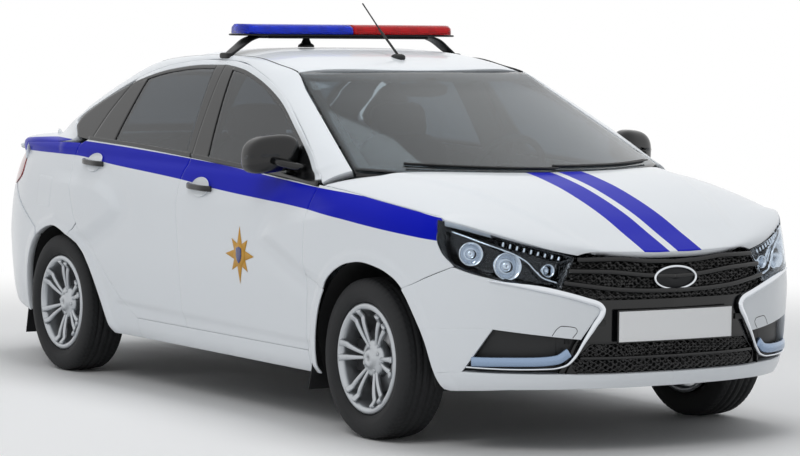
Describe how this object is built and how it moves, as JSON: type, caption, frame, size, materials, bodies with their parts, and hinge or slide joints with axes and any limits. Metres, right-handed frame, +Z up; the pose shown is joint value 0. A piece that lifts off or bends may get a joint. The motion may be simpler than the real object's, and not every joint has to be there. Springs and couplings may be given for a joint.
{
  "type": "police patrol car",
  "caption": "Four-door saloon patrol car with roof light bar, blue side stripe, spoked wheels, opening doors, bonnet and boot lid, and steered front wheels.",
  "frame": {"origin": "on the ground, below the middle of the car's length and width", "axes": "+X towards the front of the car, +Y to the car's left, +Z up"},
  "size_m": [4.41, 1.98, 1.6667],
  "materials": {
    "pearl_white_paint": "gloss pearl paint with a blue side stripe",
    "pearl_white_bumper": "gloss pearl paint over moulded plastic",
    "tinted_glass": "dark tinted, clear",
    "lamp_lens": "clear lens over dark inner parts",
    "blue_lens": "clear blue lens",
    "red_lens": "clear red lens",
    "gloss_black_plastic": "gloss black",
    "black_trim": "fine grained matt black",
    "liner_plastic": "matt black",
    "tank_plastic": "matt black",
    "black_rubber": "matt black",
    "tyre_rubber": "matt black, road tread",
    "silver_alloy": "satin silver lacquer",
    "bar_aluminium": "satin black coated",
    "cast_steel": "rough cast",
    "cast_engine": "rough cast",
    "chassis_steel": "matt black underbody paint",
    "exhaust_steel": "dull steel",
    "plate_white": "blank white plate",
    "seat_cloth": "dark woven cloth"
  },
  "bodies": {
    "car_body": {"aerial": "black_rubber", "dashboard": "black_trim", "engine_block": "cast_engine", "exhaust": "exhaust_steel", "fender_front_left": "pearl_white_paint", "fender_front_right": "pearl_white_paint", "fog_pockets": "black_trim", "front_bumper": "pearl_white_bumper", "front_frame": "chassis_steel", "front_seats": "seat_cloth", "front_subframe": "chassis_steel", "fuel_tank": "tank_plastic", "grille": "gloss_black_plastic", "headlamps": "lamp_lens", "light_bar_blue": "blue_lens", "light_bar_rack": "bar_aluminium", "light_bar_red": "red_lens", "mud_flaps": "black_rubber", "number_plates": "plate_white", "rear_axle": "chassis_steel", "rear_bumper": "pearl_white_bumper", "rear_glass": "tinted_glass", "rear_seat": "seat_cloth", "roof_panel": "pearl_white_paint", "side_frame_left": "pearl_white_paint", "side_frame_right": "pearl_white_paint", "tail_lamps": "red_lens", "underbody": "chassis_steel", "wheel_liners": "liner_plastic", "windscreen": "tinted_glass", "wipers": "black_trim"},
    "front_door_left": {"door_front_left": "pearl_white_paint", "glass_front_door_left": "tinted_glass", "door_mirror_left": "gloss_black_plastic"},
    "front_door_right": {"door_front_right": "pearl_white_paint", "glass_front_door_right": "tinted_glass", "door_mirror_right": "gloss_black_plastic"},
    "rear_door_left": {"door_rear_left": "pearl_white_paint", "glass_rear_door_left": "tinted_glass"},
    "rear_door_right": {"door_rear_right": "pearl_white_paint", "glass_rear_door_right": "tinted_glass"},
    "hood": {"hood": "pearl_white_paint"},
    "boot_lid": {"boot_lid": "pearl_white_paint"},
    "knuckle_left": {"knuckle_left": "cast_steel"},
    "knuckle_right": {"knuckle_right": "cast_steel"},
    "steering_wheel": {"steering_wheel": "black_trim"},
    "wheel_front_left": {"tyre_front_left": "tyre_rubber", "rim_front_left": "silver_alloy"},
    "wheel_front_right": {"tyre_front_right": "tyre_rubber", "rim_front_right": "silver_alloy"},
    "wheel_rear_left": {"tyre_rear_left": "tyre_rubber", "rim_rear_left": "silver_alloy"},
    "wheel_rear_right": {"tyre_rear_right": "tyre_rubber", "rim_rear_right": "silver_alloy"}
  },
  "joints": [
    {"name": "front_door_left_hinge", "type": "hinge", "parent": "car_body", "child": "front_door_left", "pos_m": [0.964, 0.878, 0.65], "axis": [0, 0, -1], "range_deg": [0, 65]},
    {"name": "front_door_right_hinge", "type": "hinge", "parent": "car_body", "child": "front_door_right", "pos_m": [0.964, -0.878, 0.65], "axis": [0, 0, 1], "range_deg": [0, 65]},
    {"name": "rear_door_left_hinge", "type": "hinge", "parent": "car_body", "child": "rear_door_left", "pos_m": [-0.103, 0.878, 0.65], "axis": [0, 0, -1], "range_deg": [0, 65]},
    {"name": "rear_door_right_hinge", "type": "hinge", "parent": "car_body", "child": "rear_door_right", "pos_m": [-0.103, -0.878, 0.65], "axis": [0, 0, 1], "range_deg": [0, 65]},
    {"name": "hood_hinge", "type": "hinge", "parent": "car_body", "child": "hood", "pos_m": [1.056, 0, 1.03], "axis": [0, -1, 0], "range_deg": [0, 55]},
    {"name": "boot_lid_hinge", "type": "hinge", "parent": "car_body", "child": "boot_lid", "pos_m": [-1.674, 0, 1.066], "axis": [0, 1, 0], "range_deg": [0, 75]},
    {"name": "steer_left", "type": "hinge", "parent": "car_body", "child": "knuckle_left", "pos_m": [1.365, 0.7, 0.22], "axis": [0, -0.2282, 0.9736], "range_deg": [-30, 30]},
    {"name": "steer_right", "type": "hinge", "parent": "car_body", "child": "knuckle_right", "pos_m": [1.365, -0.7, 0.22], "axis": [0, 0.2282, 0.9736], "range_deg": [-30, 30]},
    {"name": "steering_wheel_turn", "type": "hinge", "parent": "car_body", "child": "steering_wheel", "pos_m": [0.52, 0.36, 0.935], "axis": [-0.9063, 0, 0.4226], "range_deg": [-450, 450]},
    {"name": "wheel_front_left_spin", "type": "hinge", "parent": "knuckle_left", "child": "wheel_front_left", "pos_m": [1.365, 0.755, 0.308], "axis": [0, 1, 0], "continuous": true},
    {"name": "wheel_front_right_spin", "type": "hinge", "parent": "knuckle_right", "child": "wheel_front_right", "pos_m": [1.365, -0.755, 0.308], "axis": [0, 1, 0], "continuous": true},
    {"name": "wheel_rear_left_spin", "type": "hinge", "parent": "car_body", "child": "wheel_rear_left", "pos_m": [-1.27, 0.755, 0.308], "axis": [0, 1, 0], "continuous": true},
    {"name": "wheel_rear_right_spin", "type": "hinge", "parent": "car_body", "child": "wheel_rear_right", "pos_m": [-1.27, -0.755, 0.308], "axis": [0, 1, 0], "continuous": true}
  ],
  "couplings": [
    {"joint": "steer_right", "follows": "steer_left", "ratio": 1},
    {"joint": "steering_wheel_turn", "follows": "steer_left", "ratio": 15}
  ]
}
